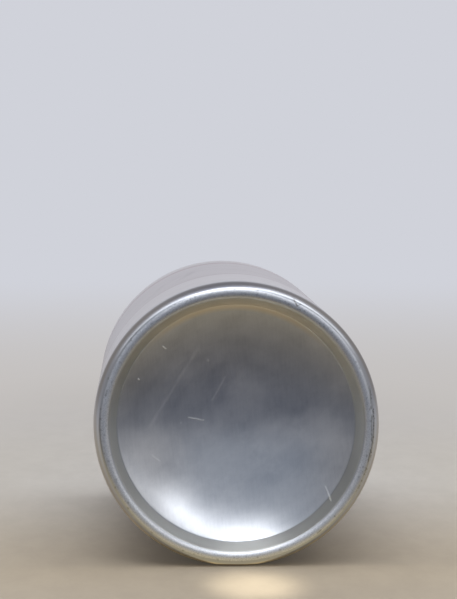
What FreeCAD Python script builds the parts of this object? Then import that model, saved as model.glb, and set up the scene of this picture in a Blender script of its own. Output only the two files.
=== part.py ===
"""A shut drinks can, lying on its side: a drawn aluminium body with a domed base, a seamed end, a pull tab.

Millimetres, +Z up. The can's axis lies along Y: the domed base looks towards -Y, the seamed end towards +Y.
The origin is on the surface that the can lies on, under the middle of the can.

Radii are measured from the can's axis, and heights along it from the plane that the can would stand on.
The body is one solid out to its skin, because a shut can shows nothing of its inside.
"""

import FreeCAD, Part
import math
import os

# Whole can
CAN_HEIGHT = 122.2          # standing plane to the top of the seam
BODY_RADIUS = 33.0
REST_FLAT_WIDTH = 9.0       # small flat along the side, on which the can lies without rolling

# Domed base
STAND_INSET = 2.4           # side wall in to the circle that the can would stand on
NOSE_RADIUS = 1.6           # round of the standing ring
HEEL_RADIUS = 6.0           # larger round from the standing ring out to the side wall
DOME_EDGE_INSET = 3.0       # standing circle in to where the recess wall meets the dome
DOME_EDGE_HEIGHT = 5.2
DOME_EDGE_FILLET = 0.5
DOME_SPHERE_RADIUS = 54.0

# Seamed end
SEAM_RADIUS = 32.5
SEAM_HEIGHT = 2.7
SEAM_THICKNESS = 1.4
CHUCK_WALL_ANGLE = 6.0      # degrees from the axis
COUNTERSINK_DEPTH = 6.4     # below the top of the seam
COUNTERSINK_RADIUS = 0.75
PANEL_DEPTH = 4.2           # below the top of the seam
PANEL_EDGE_FILLET = 0.6
END_FLOOR = 0.6             # metal under the countersink
PLUG_CLEARANCE = 0.05

# Neck
SEAM_OVERHANG = 0.75        # seam's outside beyond the neck's
NECK_WALL = 0.3             # wall that stands up around the end's plug
NECK_LENGTH = 2.0           # straight stretch under the seam
SHOULDER_RADIUS = 2.5       # both rounds of the neck's S shape
SHOULDER_ANGLE = 28.0       # degrees, of the cone between the two rounds

# Rivet and tab
BOSS_RADIUS = 3.0
TAB_LIFT = 0.35             # tab's underside above the recess floor
RIVET_RADIUS = 1.6
RIVET_HEAD_RADIUS = 2.7
RIVET_HEAD_THICKNESS = 0.45
RIVET_CLEARANCE = 0.05
TAB_THICKNESS = 1.2
TAB_WEB = 0.6               # thin web of the tab around the rivet
TAB_NOSE = (1.0, 8.0)       # centre's distance above the rivet, radius
TAB_HEEL = (-9.6, 7.4)
TAB_EDGE_FILLET = 0.5
TAB_POCKET_RADIUS = 4.0
FINGER_HOLE_RADIUS = 4.6
FINGER_HOLE_FILLET = 0.4

# Recess in the panel, pour opening's score line and finger well
RECESS_DEPTH = 0.4
RECESS_TOP_RADIUS = 13.5
RECESS_TOP_LAND = 5.0       # panel's edge in to the top of the recess
RECESS_FOOT_RADIUS = 10.0
RECESS_FOOT_LAND = 6.0
SCORE_HALF_WIDTH = 10.0
SCORE_LAND = 2.1            # recess's top down to the score line
SCORE_BOSS_GAP = 1.6        # score line's lowest point up from the boss
SCORE_WIDTH = 0.4
SCORE_DEPTH = 0.15
HINGE_GAP_WIDTH = 7.0       # stretch beside the tab where the score line stops
FINGER_WELL_DEPTH = 0.6
FINGER_WELL_RADIUS = 6.5
FINGER_WELL_LAND = 0.5      # recess's foot up to the finger well

# Derived places
REST_FLAT_DEPTH = BODY_RADIUS - math.sqrt(BODY_RADIUS ** 2 - (REST_FLAT_WIDTH / 2) ** 2)
AXIS_HEIGHT = BODY_RADIUS - REST_FLAT_DEPTH
STAND_RADIUS = BODY_RADIUS - STAND_INSET
DOME_EDGE_RADIUS = STAND_RADIUS - DOME_EDGE_INSET
NECK_RADIUS = SEAM_RADIUS - SEAM_OVERHANG
SEAM_FOOT = CAN_HEIGHT - SEAM_HEIGHT
PLUG_FLOOR = CAN_HEIGHT - COUNTERSINK_DEPTH - END_FLOOR
POCKET_RADIUS = NECK_RADIUS - NECK_WALL
PLUG_RADIUS = POCKET_RADIUS - PLUG_CLEARANCE
PANEL_HEIGHT = CAN_HEIGHT - PANEL_DEPTH
RECESS_FLOOR = PANEL_HEIGHT - RECESS_DEPTH
TAB_UNDERSIDE = RECESS_FLOOR + TAB_LIFT

# Derived places across the end, from its outside in
SEAM_INSIDE = SEAM_RADIUS - SEAM_THICKNESS
SEAM_ROUND = SEAM_THICKNESS / 2
SINK_HEIGHT = CAN_HEIGHT - COUNTERSINK_DEPTH + COUNTERSINK_RADIUS
WALL_DROP = CAN_HEIGHT - SEAM_ROUND - SINK_HEIGHT
WALL_FOOT = SEAM_INSIDE - WALL_DROP * math.tan(math.radians(CHUCK_WALL_ANGLE))
SINK_RADIUS = WALL_FOOT - COUNTERSINK_RADIUS
PANEL_WALL = SINK_RADIUS - COUNTERSINK_RADIUS
PANEL_RADIUS = PANEL_WALL - PANEL_EDGE_FILLET
RECESS_TOP = (PANEL_RADIUS - RECESS_TOP_LAND - RECESS_TOP_RADIUS, RECESS_TOP_RADIUS)
RECESS_FOOT = (RECESS_FOOT_LAND + RECESS_FOOT_RADIUS - PANEL_RADIUS, RECESS_FOOT_RADIUS)
SCORE_TOP = sum(RECESS_TOP) - SCORE_LAND
SCORE_HALF_HEIGHT = (SCORE_TOP - BOSS_RADIUS - SCORE_BOSS_GAP) / 2
SCORE_CENTRE = SCORE_TOP - SCORE_HALF_HEIGHT
FINGER_WELL_CENTRE = RECESS_FOOT[0] - RECESS_FOOT_RADIUS + FINGER_WELL_LAND + FINGER_WELL_RADIUS

ALONG = FreeCAD.Vector(0, 1, 0)
SAME = 1e-6                 # lengths this near each other are equal
CUT_PAST = 1.0              # how far a cutting block runs past the face that it opens


def spot(radius, height, across=0.0):
    """A place given by its distance above the axis, its height along the can and its place across."""
    return FreeCAD.Vector(across, height - CAN_HEIGHT / 2, AXIS_HEIGHT + radius)


class Outline:
    """A closed outline in the half plane above the axis, drawn from point to point and then turned."""

    def __init__(self, radius, height):
        self.start = self.here = (radius, height)
        self.edges = []

    def line(self, radius, height):
        """A straight run to a point."""
        self.edges.append(Part.LineSegment(spot(*self.here), spot(radius, height)).toShape())
        self.here = (radius, height)
        return self

    def arc(self, centre, end):
        """The shorter arc about a centre to a point."""
        first = math.atan2(self.here[1] - centre[1], self.here[0] - centre[0])
        last = math.atan2(end[1] - centre[1], end[0] - centre[0])
        turn = (last - first + math.pi) % (2 * math.pi) - math.pi
        size = math.hypot(self.here[0] - centre[0], self.here[1] - centre[1])
        middle = first + turn / 2
        halfway = (centre[0] + size * math.cos(middle), centre[1] + size * math.sin(middle))
        self.edges.append(Part.Arc(spot(*self.here), spot(*halfway), spot(*end)).toShape())
        self.here = end
        return self

    def turned(self):
        """The closed outline turned once about the can's axis."""
        self.line(*self.start)
        face = Part.Face(Part.Wire(self.edges))
        return face.revolve(spot(0, 0), ALONG, 360)


def along(centre, distance, angle):
    """The point at a distance from a centre, at an angle in radians from outwards towards up."""
    return (centre[0] + distance * math.cos(angle), centre[1] + distance * math.sin(angle))


def tangent_from(point, centre, size):
    """Where a line from a point touches a circle on its inner side, nearer to the axis."""
    away = math.atan2(point[1] - centre[1], point[0] - centre[0])
    spread = math.acos(size / math.dist(point, centre))
    return along(centre, size, away + spread)


def draw_neck(outline):
    """From the top of the neck's wall down its outside to the side wall."""
    angle = math.radians(SHOULDER_ANGLE)
    rounds = SHOULDER_RADIUS * (1 - math.cos(angle))
    cone = (BODY_RADIUS - NECK_RADIUS - 2 * rounds) / math.sin(angle)
    neck_foot = SEAM_FOOT - NECK_LENGTH
    hollow = (NECK_RADIUS + SHOULDER_RADIUS, neck_foot)
    cone_top = along(hollow, SHOULDER_RADIUS, math.pi + angle)
    cone_foot = along(cone_top, cone, angle - math.pi / 2)
    shoulder = along(cone_foot, SHOULDER_RADIUS, math.pi + angle)
    outline.line(NECK_RADIUS, neck_foot)
    outline.arc(hollow, cone_top)
    outline.line(*cone_foot)
    outline.arc(shoulder, (BODY_RADIUS, shoulder[1]))


def draw_base(outline):
    """From the side wall round the heel and the standing ring, up the recess and along the dome."""
    heel_out = BODY_RADIUS - HEEL_RADIUS
    heel_rise = math.sqrt((HEEL_RADIUS - NOSE_RADIUS) ** 2 - (STAND_RADIUS - heel_out) ** 2)
    nose = (STAND_RADIUS, NOSE_RADIUS)
    heel = (heel_out, NOSE_RADIUS + heel_rise)
    heel_end = along(nose, NOSE_RADIUS, math.atan2(nose[1] - heel[1], nose[0] - heel[0]))
    outline.line(BODY_RADIUS, heel[1])
    outline.arc(heel, heel_end)
    outline.arc(nose, (STAND_RADIUS, 0))

    corner = (DOME_EDGE_RADIUS, DOME_EDGE_HEIGHT)
    nose_end = tangent_from(corner, nose, NOSE_RADIUS)
    outline.arc(nose, nose_end)

    dome_drop = math.sqrt(DOME_SPHERE_RADIUS ** 2 - DOME_EDGE_RADIUS ** 2)
    dome = (0.0, DOME_EDGE_HEIGHT - dome_drop)
    rise = math.atan2(corner[1] - nose_end[1], corner[0] - nose_end[0])
    inward = rise + math.pi / 2
    guide = along(nose_end, DOME_EDGE_FILLET, inward)
    reach = (guide[0] - dome[0]) * math.cos(rise) + (guide[1] - dome[1]) * math.sin(rise)
    gap = math.dist(guide, dome) ** 2 - (DOME_SPHERE_RADIUS - DOME_EDGE_FILLET) ** 2
    fillet = along(guide, math.sqrt(reach ** 2 - gap) - reach, rise)
    outline.line(*along(fillet, DOME_EDGE_FILLET, inward - math.pi))
    towards_edge = math.atan2(fillet[1] - dome[1], fillet[0] - dome[0])
    outline.arc(fillet, along(dome, DOME_SPHERE_RADIUS, towards_edge))
    outline.arc(dome, (0.0, dome[1] + DOME_SPHERE_RADIUS))


def make_body():
    """The drawn body, solid out to its skin, with a pocket for the end and a small flat to lie on."""
    outline = Outline(0, PLUG_FLOOR)
    outline.line(POCKET_RADIUS, PLUG_FLOOR)
    outline.line(POCKET_RADIUS, SEAM_FOOT)
    outline.line(NECK_RADIUS, SEAM_FOOT)
    draw_neck(outline)
    draw_base(outline)
    body = outline.turned()
    floor = Part.makeBox(4 * BODY_RADIUS, 2 * CAN_HEIGHT, BODY_RADIUS,
                         FreeCAD.Vector(-2 * BODY_RADIUS, -CAN_HEIGHT, -BODY_RADIUS))
    return body.cut(floor)


def end_blank():
    """The turned end: seam, chuck wall, countersink and plain panel."""
    seam_top = (SEAM_RADIUS - SEAM_ROUND, CAN_HEIGHT - SEAM_ROUND)
    sink = (SINK_RADIUS, SINK_HEIGHT)
    edge = (PANEL_RADIUS, PANEL_HEIGHT - PANEL_EDGE_FILLET)

    outline = Outline(0, PLUG_FLOOR)
    outline.line(PLUG_RADIUS, PLUG_FLOOR)
    outline.line(PLUG_RADIUS, SEAM_FOOT)
    outline.line(SEAM_RADIUS, SEAM_FOOT)
    outline.line(SEAM_RADIUS, seam_top[1])
    outline.arc(seam_top, (seam_top[0], CAN_HEIGHT))
    outline.arc(seam_top, (SEAM_INSIDE, seam_top[1]))
    outline.line(WALL_FOOT, SINK_HEIGHT)
    outline.arc(sink, (SINK_RADIUS, CAN_HEIGHT - COUNTERSINK_DEPTH))
    outline.arc(sink, (PANEL_WALL, SINK_HEIGHT))
    outline.line(PANEL_WALL, edge[1])
    outline.arc(edge, (PANEL_RADIUS, PANEL_HEIGHT))
    outline.line(0, PANEL_HEIGHT)
    return outline.turned()


def rod(radius, foot, top, up=0.0):
    """A round rod along the can between two heights, a distance above the rivet."""
    return Part.makeCylinder(radius, top - foot, spot(up, foot), ALONG)


def pear(upper, lower, foot, top):
    """A block whose outline is two circles, one above the other, and the lines that touch both."""
    (high, large), (low, small) = upper, lower
    turn = math.asin((large - small) / (high - low))
    side, rise = math.cos(turn), math.sin(turn)
    right_high = spot(high + large * -rise, foot, large * side)
    left_high = spot(high + large * -rise, foot, -large * side)
    right_low = spot(low + small * -rise, foot, small * side)
    left_low = spot(low + small * -rise, foot, -small * side)
    edges = [
        Part.Arc(left_high, spot(high + large, foot), right_high).toShape(),
        Part.LineSegment(right_high, right_low).toShape(),
        Part.Arc(right_low, spot(low - small, foot), left_low).toShape(),
        Part.LineSegment(left_low, left_high).toShape(),
    ]
    face = Part.Face(Part.Wire(edges))
    return face.extrude(ALONG * (top - foot))


def oval(half_width, half_height, centre, foot, top):
    """An elliptical block along the can between two heights, a distance above the rivet."""
    middle = spot(centre, foot)
    across = FreeCAD.Vector(half_width, 0, 0)
    upwards = FreeCAD.Vector(0, 0, half_height)
    long_way, short_way = (across, upwards) if half_width > half_height else (upwards, across)
    curve = Part.Ellipse(middle + long_way, middle + short_way, middle)
    face = Part.Face(Part.Wire([curve.toShape()]))
    return face.extrude(ALONG * (top - foot))


def score_line():
    """The thin groove around the pour opening, which stops at the hinge beside the tab."""
    foot, top = RECESS_FLOOR - SCORE_DEPTH, PANEL_HEIGHT + CUT_PAST
    half = SCORE_WIDTH / 2
    outside = oval(SCORE_HALF_WIDTH + half, SCORE_HALF_HEIGHT + half, SCORE_CENTRE, foot, top)
    inside = oval(SCORE_HALF_WIDTH - half, SCORE_HALF_HEIGHT - half, SCORE_CENTRE, foot, top)
    hinge = Part.makeBox(HINGE_GAP_WIDTH, top - foot, SCORE_HALF_HEIGHT,
                         spot(SCORE_CENTRE - 2 * SCORE_HALF_HEIGHT, foot))
    return outside.cut(inside).cut(hinge)


def finger_well():
    """The shallow dish under the tab's heel, which lets a fingertip in."""
    size = (FINGER_WELL_RADIUS ** 2 + FINGER_WELL_DEPTH ** 2) / (2 * FINGER_WELL_DEPTH)
    return Part.makeSphere(size, spot(FINGER_WELL_CENTRE, RECESS_FLOOR - FINGER_WELL_DEPTH + size))


def make_end():
    """The seamed end with its panel recess, score line, finger well, and the rivet formed out of it."""
    web_top = TAB_UNDERSIDE + TAB_WEB
    recess = pear(RECESS_TOP, RECESS_FOOT, RECESS_FLOOR, CAN_HEIGHT)
    end = end_blank().cut(recess).cut(score_line()).cut(finger_well())
    boss = rod(BOSS_RADIUS, RECESS_FLOOR, TAB_UNDERSIDE)
    shank = rod(RIVET_RADIUS, RECESS_FLOOR, web_top)
    head = rod(RIVET_HEAD_RADIUS, web_top, web_top + RIVET_HEAD_THICKNESS)
    return end.fuse([boss, shank, head]).removeSplitter()


def rounded(solid, size, radius=None):
    """A flat block with its level edges rounded: all of them, or only the circles of one radius."""
    level = [edge for edge in solid.Edges if abs(edge.Vertexes[0].Point.y - edge.CenterOfMass.y) < SAME]
    if radius:
        level = [edge for edge in level if abs(getattr(edge.Curve, "Radius", 0) - radius) < SAME]
    return solid.makeFillet(size, level)


def make_tab():
    """The pull tab: a pear-shaped plate with a rounded rim, a finger hole and a thin web at the rivet."""
    top = TAB_UNDERSIDE + TAB_THICKNESS
    plate = rounded(pear(TAB_NOSE, TAB_HEEL, TAB_UNDERSIDE, top), TAB_EDGE_FILLET)
    hole = rod(FINGER_HOLE_RADIUS, TAB_UNDERSIDE - CUT_PAST, top + CUT_PAST, TAB_HEEL[0])
    plate = rounded(plate.cut(hole), FINGER_HOLE_FILLET, FINGER_HOLE_RADIUS)
    pocket = rod(TAB_POCKET_RADIUS, TAB_UNDERSIDE + TAB_WEB, top + CUT_PAST)
    rivet_hole = rod(RIVET_RADIUS + RIVET_CLEARANCE, TAB_UNDERSIDE - CUT_PAST, top + CUT_PAST)
    return plate.cut(pocket).cut(rivet_hole)


def main():
    """Builds the pieces and writes each one to its own file."""
    os.makedirs("parts", exist_ok=True)
    pieces = {"can_body": make_body(), "can_end": make_end(), "pull_tab": make_tab()}
    for name, shape in pieces.items():
        shape.exportStep(os.path.join("parts", name + ".step"))
        box = shape.BoundBox
        print(name, shape.isValid(), len(shape.Solids), round(shape.Volume, 1),
              [round(v, 2) for v in (box.XMin, box.XMax, box.YMin, box.YMax, box.ZMin, box.ZMax)])


main()
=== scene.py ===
import logging
import math
from dataclasses import astuple, dataclass
from enum import Enum

import bmesh
import bpy
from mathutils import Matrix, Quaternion, Vector


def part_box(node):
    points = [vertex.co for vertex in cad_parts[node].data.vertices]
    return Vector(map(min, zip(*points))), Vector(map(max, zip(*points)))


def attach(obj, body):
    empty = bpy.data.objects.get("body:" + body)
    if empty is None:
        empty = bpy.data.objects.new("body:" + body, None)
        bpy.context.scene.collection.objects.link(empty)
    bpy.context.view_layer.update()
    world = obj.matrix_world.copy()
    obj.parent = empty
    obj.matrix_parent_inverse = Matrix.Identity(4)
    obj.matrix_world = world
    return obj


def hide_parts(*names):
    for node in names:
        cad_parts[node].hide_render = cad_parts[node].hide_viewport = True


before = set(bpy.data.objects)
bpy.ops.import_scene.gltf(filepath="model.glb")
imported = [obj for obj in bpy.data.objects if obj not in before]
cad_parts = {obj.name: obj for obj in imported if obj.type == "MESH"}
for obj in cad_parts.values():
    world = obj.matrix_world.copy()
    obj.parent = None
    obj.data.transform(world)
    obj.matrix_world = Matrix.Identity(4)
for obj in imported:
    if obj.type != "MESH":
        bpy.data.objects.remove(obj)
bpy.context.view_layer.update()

LOG = logging.getLogger("drinks_can")
MM = 0.001
MERGE_DISTANCE = 1e-6
LEAST_EDGE = 1e-7
# Radii of the base that its shape and its finish share, in millimetres.
STAND_RADIUS = 30.6
DOME_RADIUS = 27.6
Socket = bpy.types.NodeSocket
Pair = tuple[float, float]
Triple = tuple[float, float, float]
Colour = tuple[float, float, float, float]


def srgb(red: int, green: int, blue: int) -> Colour:
    """Turns a colour as a paint chart gives it, from 0 to 255, into the linear colour that a shader takes.

    Args:
        red: Red, from 0 to 255.
        green: Green, from 0 to 255.
        blue: Blue, from 0 to 255.

    Returns:
        Red, green and blue in linear light, and a full alpha.
    """
    linear = []
    for part in (red, green, blue):
        share = part / 255
        linear.append(share / 12.92 if share <= 0.04045 else ((share + 0.055) / 1.055) ** 2.4)
    return (*linear, 1.0)


class Zone(Enum):
    """Which finish a face of the body wears: its number is the face's material slot."""

    BARE = 0
    PRINTED = 1


# --------------------------------------------------------------------------------------------------
# Shapes
# --------------------------------------------------------------------------------------------------


@dataclass(frozen=True)
class CanFrame:
    """Where the can lies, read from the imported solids, in metres."""

    base: float
    top: float
    axis_height: float
    radius: float

    @classmethod
    def read(cls) -> "CanFrame":
        """Reads the can's place from the boxes of its body and its end.

        Returns:
            Where the can lies.
        """
        body_low, body_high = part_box("can_body")
        end_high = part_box("can_end")[1]
        radius = (body_high.x - body_low.x) / 2
        return cls(base=body_low.y, top=end_high.y, axis_height=body_high.z - radius, radius=radius)

    def place(self, radius: float, height: float) -> Vector:
        """The point above the axis at a radius, and at a height from the standing plane."""
        return Vector((0, self.base + height, self.axis_height + radius))


class Outline:
    """A chain of edges in the half plane above the can's axis, drawn point by point and then turned."""

    def __init__(self, can: CanFrame, radius: float, height: float) -> None:
        """Starts the chain at one point.

        Args:
            can: Where the can lies.
            radius: The first point's distance from the axis.
            height: The first point's height from the standing plane.
        """
        self.can = can
        self.mesh = bmesh.new()
        self.tip = self.mesh.verts.new(can.place(radius, height))

    def line(self, radius: float, height: float, steps: int = 1) -> None:
        """Draws a straight run to a point, in equal steps.

        Args:
            radius: The end's distance from the axis.
            height: The end's height from the standing plane.
            steps: How many edges the run has.
        """
        start = self.tip.co.copy()
        end = self.can.place(radius, height)
        for step in range(1, steps + 1):
            made = bmesh.ops.extrude_vert_indiv(self.mesh, verts=[self.tip])
            self.tip = made["verts"][0]
            self.tip.co = start.lerp(end, step / steps)

    def arc(self, centre: Pair, angle: float, steps: int) -> None:
        """Turns the tip about a centre.

        Args:
            centre: The arc's centre, as a radius and a height.
            angle: How far it turns, in radians, positive from the axis's far end outwards.
            steps: How many edges the arc has.
        """
        made = bmesh.ops.spin(
            self.mesh, geom=[self.tip], cent=self.can.place(*centre), axis=(1, 0, 0),
            angle=angle, steps=steps, use_duplicate=False,
        )
        self.tip = next(item for item in made["geom_last"] if isinstance(item, bmesh.types.BMVert))

    def turned(self, segments: int) -> bmesh.types.BMesh:
        """Turns the chain once about the can's axis and closes its seam and its poles.

        Args:
            segments: How many strips go round.

        Returns:
            The turned shape, with its faces outwards.
        """
        bmesh.ops.spin(
            self.mesh, geom=self.mesh.verts[:] + self.mesh.edges[:], cent=self.can.place(0, 0),
            axis=(0, 1, 0), angle=math.tau, steps=segments, use_merge=True, use_duplicate=False,
        )
        bmesh.ops.remove_doubles(self.mesh, verts=self.mesh.verts[:], dist=MERGE_DISTANCE)
        bmesh.ops.dissolve_degenerate(self.mesh, edges=self.mesh.edges[:], dist=LEAST_EDGE)
        bmesh.ops.recalc_face_normals(self.mesh, faces=self.mesh.faces[:])
        return self.mesh


def arc_between(centre: Pair, start: Pair, end: Pair) -> float:
    """The shorter turn about a centre from one point to another, in the sense that Outline.arc takes.

    Args:
        centre: The centre, as a radius and a height.
        start: The point that the turn starts from.
        end: The point that it ends at, or points to.

    Returns:
        The turn, in radians.
    """
    first = math.atan2(start[0] - centre[0], start[1] - centre[1])
    last = math.atan2(end[0] - centre[0], end[1] - centre[1])
    return (last - first + math.pi) % math.tau - math.pi


def put_out(mesh: bmesh.types.BMesh, name: str, materials: list[bpy.types.Material]) -> bpy.types.Object:
    """Writes a finished bmesh to a smooth-shaded object at the origin.

    Args:
        mesh: The finished shape, which is freed.
        name: The piece's name.
        materials: Its materials, in the order of its slots.

    Returns:
        The new object.
    """
    data = bpy.data.meshes.new(name)
    for face in mesh.faces:
        face.smooth = True
    mesh.to_mesh(data)
    mesh.free()
    for material in materials:
        data.materials.append(material)
    piece = bpy.data.objects.new(name, data)
    bpy.context.scene.collection.objects.link(piece)
    return piece


@dataclass
class DrawnBody:
    """The drawn body: domed base, standing ring, straight wall and neck, in metres."""

    can: CanFrame
    stand_radius: float = STAND_RADIUS * MM
    nose_radius: float = 1.6 * MM
    heel_radius: float = 6.0 * MM
    dome_edge_radius: float = DOME_RADIUS * MM
    dome_edge_height: float = 5.2 * MM
    dome_edge_fillet: float = 0.5 * MM
    dome_sphere_radius: float = 54.0 * MM
    neck_radius: float = 31.75 * MM
    neck_wall: float = 0.3 * MM
    neck_length: float = 2.0 * MM
    shoulder_radius: float = 2.5 * MM
    shoulder_angle: float = math.radians(28)
    seam_foot: float = 119.5 * MM
    pocket_floor: float = 115.2 * MM
    print_start: float = 3.9 * MM
    wall_steps: int = 40
    heel_steps: int = 20
    nose_steps: tuple[int, int] = (10, 16)
    cone_steps: int = 8
    fillet_steps: int = 10
    dome_steps: int = 60
    shoulder_steps: int = 8
    segments: int = 288

    def neck(self, outline: Outline) -> None:
        """Draws from the pocket for the end over the neck's edge and down its S shape to the wall.

        Args:
            outline: The chain of edges to draw on.
        """
        pocket = self.neck_radius - self.neck_wall
        outline.line(pocket, self.pocket_floor)
        outline.line(pocket, self.seam_foot)
        outline.line(self.neck_radius, self.seam_foot)
        angle, size = self.shoulder_angle, self.shoulder_radius
        foot = self.seam_foot - self.neck_length
        outline.line(self.neck_radius, foot, 3)
        rounds = size * (1 - math.cos(angle))
        cone = (self.can.radius - self.neck_radius - 2 * rounds) / math.sin(angle)
        outline.arc((self.neck_radius + size, foot), -angle, self.shoulder_steps)
        cone_top = (self.neck_radius + rounds, foot - size * math.sin(angle))
        cone_foot = (cone_top[0] + cone * math.sin(angle), cone_top[1] - cone * math.cos(angle))
        outline.line(*cone_foot, 2)
        shoulder = (cone_foot[0] - size * math.cos(angle), cone_foot[1] - size * math.sin(angle))
        outline.arc(shoulder, angle, self.shoulder_steps)

    def base(self, outline: Outline) -> None:
        """Draws the wall, the heel, the standing ring, the recess and the dome to the axis.

        Args:
            outline: The chain of edges to draw on.
        """
        heel_out = self.can.radius - self.heel_radius
        reach = self.heel_radius - self.nose_radius
        rise = math.sqrt(reach ** 2 - (self.stand_radius - heel_out) ** 2)
        nose = (self.stand_radius, self.nose_radius)
        heel = (heel_out, self.nose_radius + rise)
        lean = math.atan2(nose[0] - heel[0], heel[1] - nose[1])
        heel_end = (nose[0] + self.nose_radius * math.sin(lean), nose[1] - self.nose_radius * math.cos(lean))
        outline.line(self.can.radius, heel[1], self.wall_steps)
        outline.arc(heel, arc_between(heel, (self.can.radius, heel[1]), heel_end), self.heel_steps)

        corner = (self.dome_edge_radius, self.dome_edge_height)
        away = math.atan2(corner[1] - nose[1], corner[0] - nose[0])
        spread = math.acos(self.nose_radius / math.dist(corner, nose))
        touch = away + spread
        run, rise = self.nose_radius * math.cos(touch), self.nose_radius * math.sin(touch)
        nose_end = (nose[0] + run, nose[1] + rise)
        outline.arc(nose, arc_between(nose, heel_end, (nose[0], 0)), self.nose_steps[0])
        outline.arc(nose, arc_between(nose, (nose[0], 0), nose_end), self.nose_steps[1])

        drop = math.sqrt(self.dome_sphere_radius ** 2 - self.dome_edge_radius ** 2)
        dome = (0.0, self.dome_edge_height - drop)
        climb = math.atan2(corner[1] - nose_end[1], corner[0] - nose_end[0])
        inwards = (-self.dome_edge_fillet * math.sin(climb), self.dome_edge_fillet * math.cos(climb))
        guide = (nose_end[0] + inwards[0], nose_end[1] + inwards[1])
        along = (guide[0] - dome[0]) * math.cos(climb) + (guide[1] - dome[1]) * math.sin(climb)
        gap = math.dist(guide, dome) ** 2 - (self.dome_sphere_radius - self.dome_edge_fillet) ** 2
        far = math.sqrt(along ** 2 - gap) - along
        fillet = (guide[0] + far * math.cos(climb), guide[1] + far * math.sin(climb))
        wall_end = (fillet[0] - inwards[0], fillet[1] - inwards[1])
        outline.line(*wall_end, self.cone_steps)
        slope = math.atan2(fillet[0] - dome[0], fillet[1] - dome[1])
        size = self.dome_sphere_radius
        dome_start = (dome[0] + size * math.sin(slope), dome[1] + size * math.cos(slope))
        outline.arc(fillet, arc_between(fillet, wall_end, dome_start), self.fillet_steps)
        outline.arc(dome, -slope, self.dome_steps)

    def zone_at(self, place: Vector) -> Zone:
        """Which finish the body wears at a place: the base is bare up to where the print starts.

        Args:
            place: A point of the body's skin, in metres.

        Returns:
            The finish there.
        """
        height = place.y - self.can.base
        radius = math.hypot(place.x, place.z - self.can.axis_height)
        inside = radius < self.stand_radius and height < self.can.radius
        return Zone.BARE if inside or height < self.print_start else Zone.PRINTED

    def build(self, bare: bpy.types.Material, printed: bpy.types.Material) -> bpy.types.Object:
        """Makes the body's mesh.

        Args:
            bare: The finish of the base.
            printed: The finish of the wall and the neck.

        Returns:
            The body, in place.
        """
        outline = Outline(self.can, 0, self.pocket_floor)
        self.neck(outline)
        self.base(outline)
        mesh = outline.turned(self.segments)
        for face in mesh.faces:
            face.material_index = self.zone_at(face.calc_center_median()).value
        for vert in mesh.verts:
            vert.co.z = max(vert.co.z, 0.0)
        return put_out(mesh, "can_shell", [bare, printed])


# --------------------------------------------------------------------------------------------------
# Finishes
# --------------------------------------------------------------------------------------------------


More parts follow.
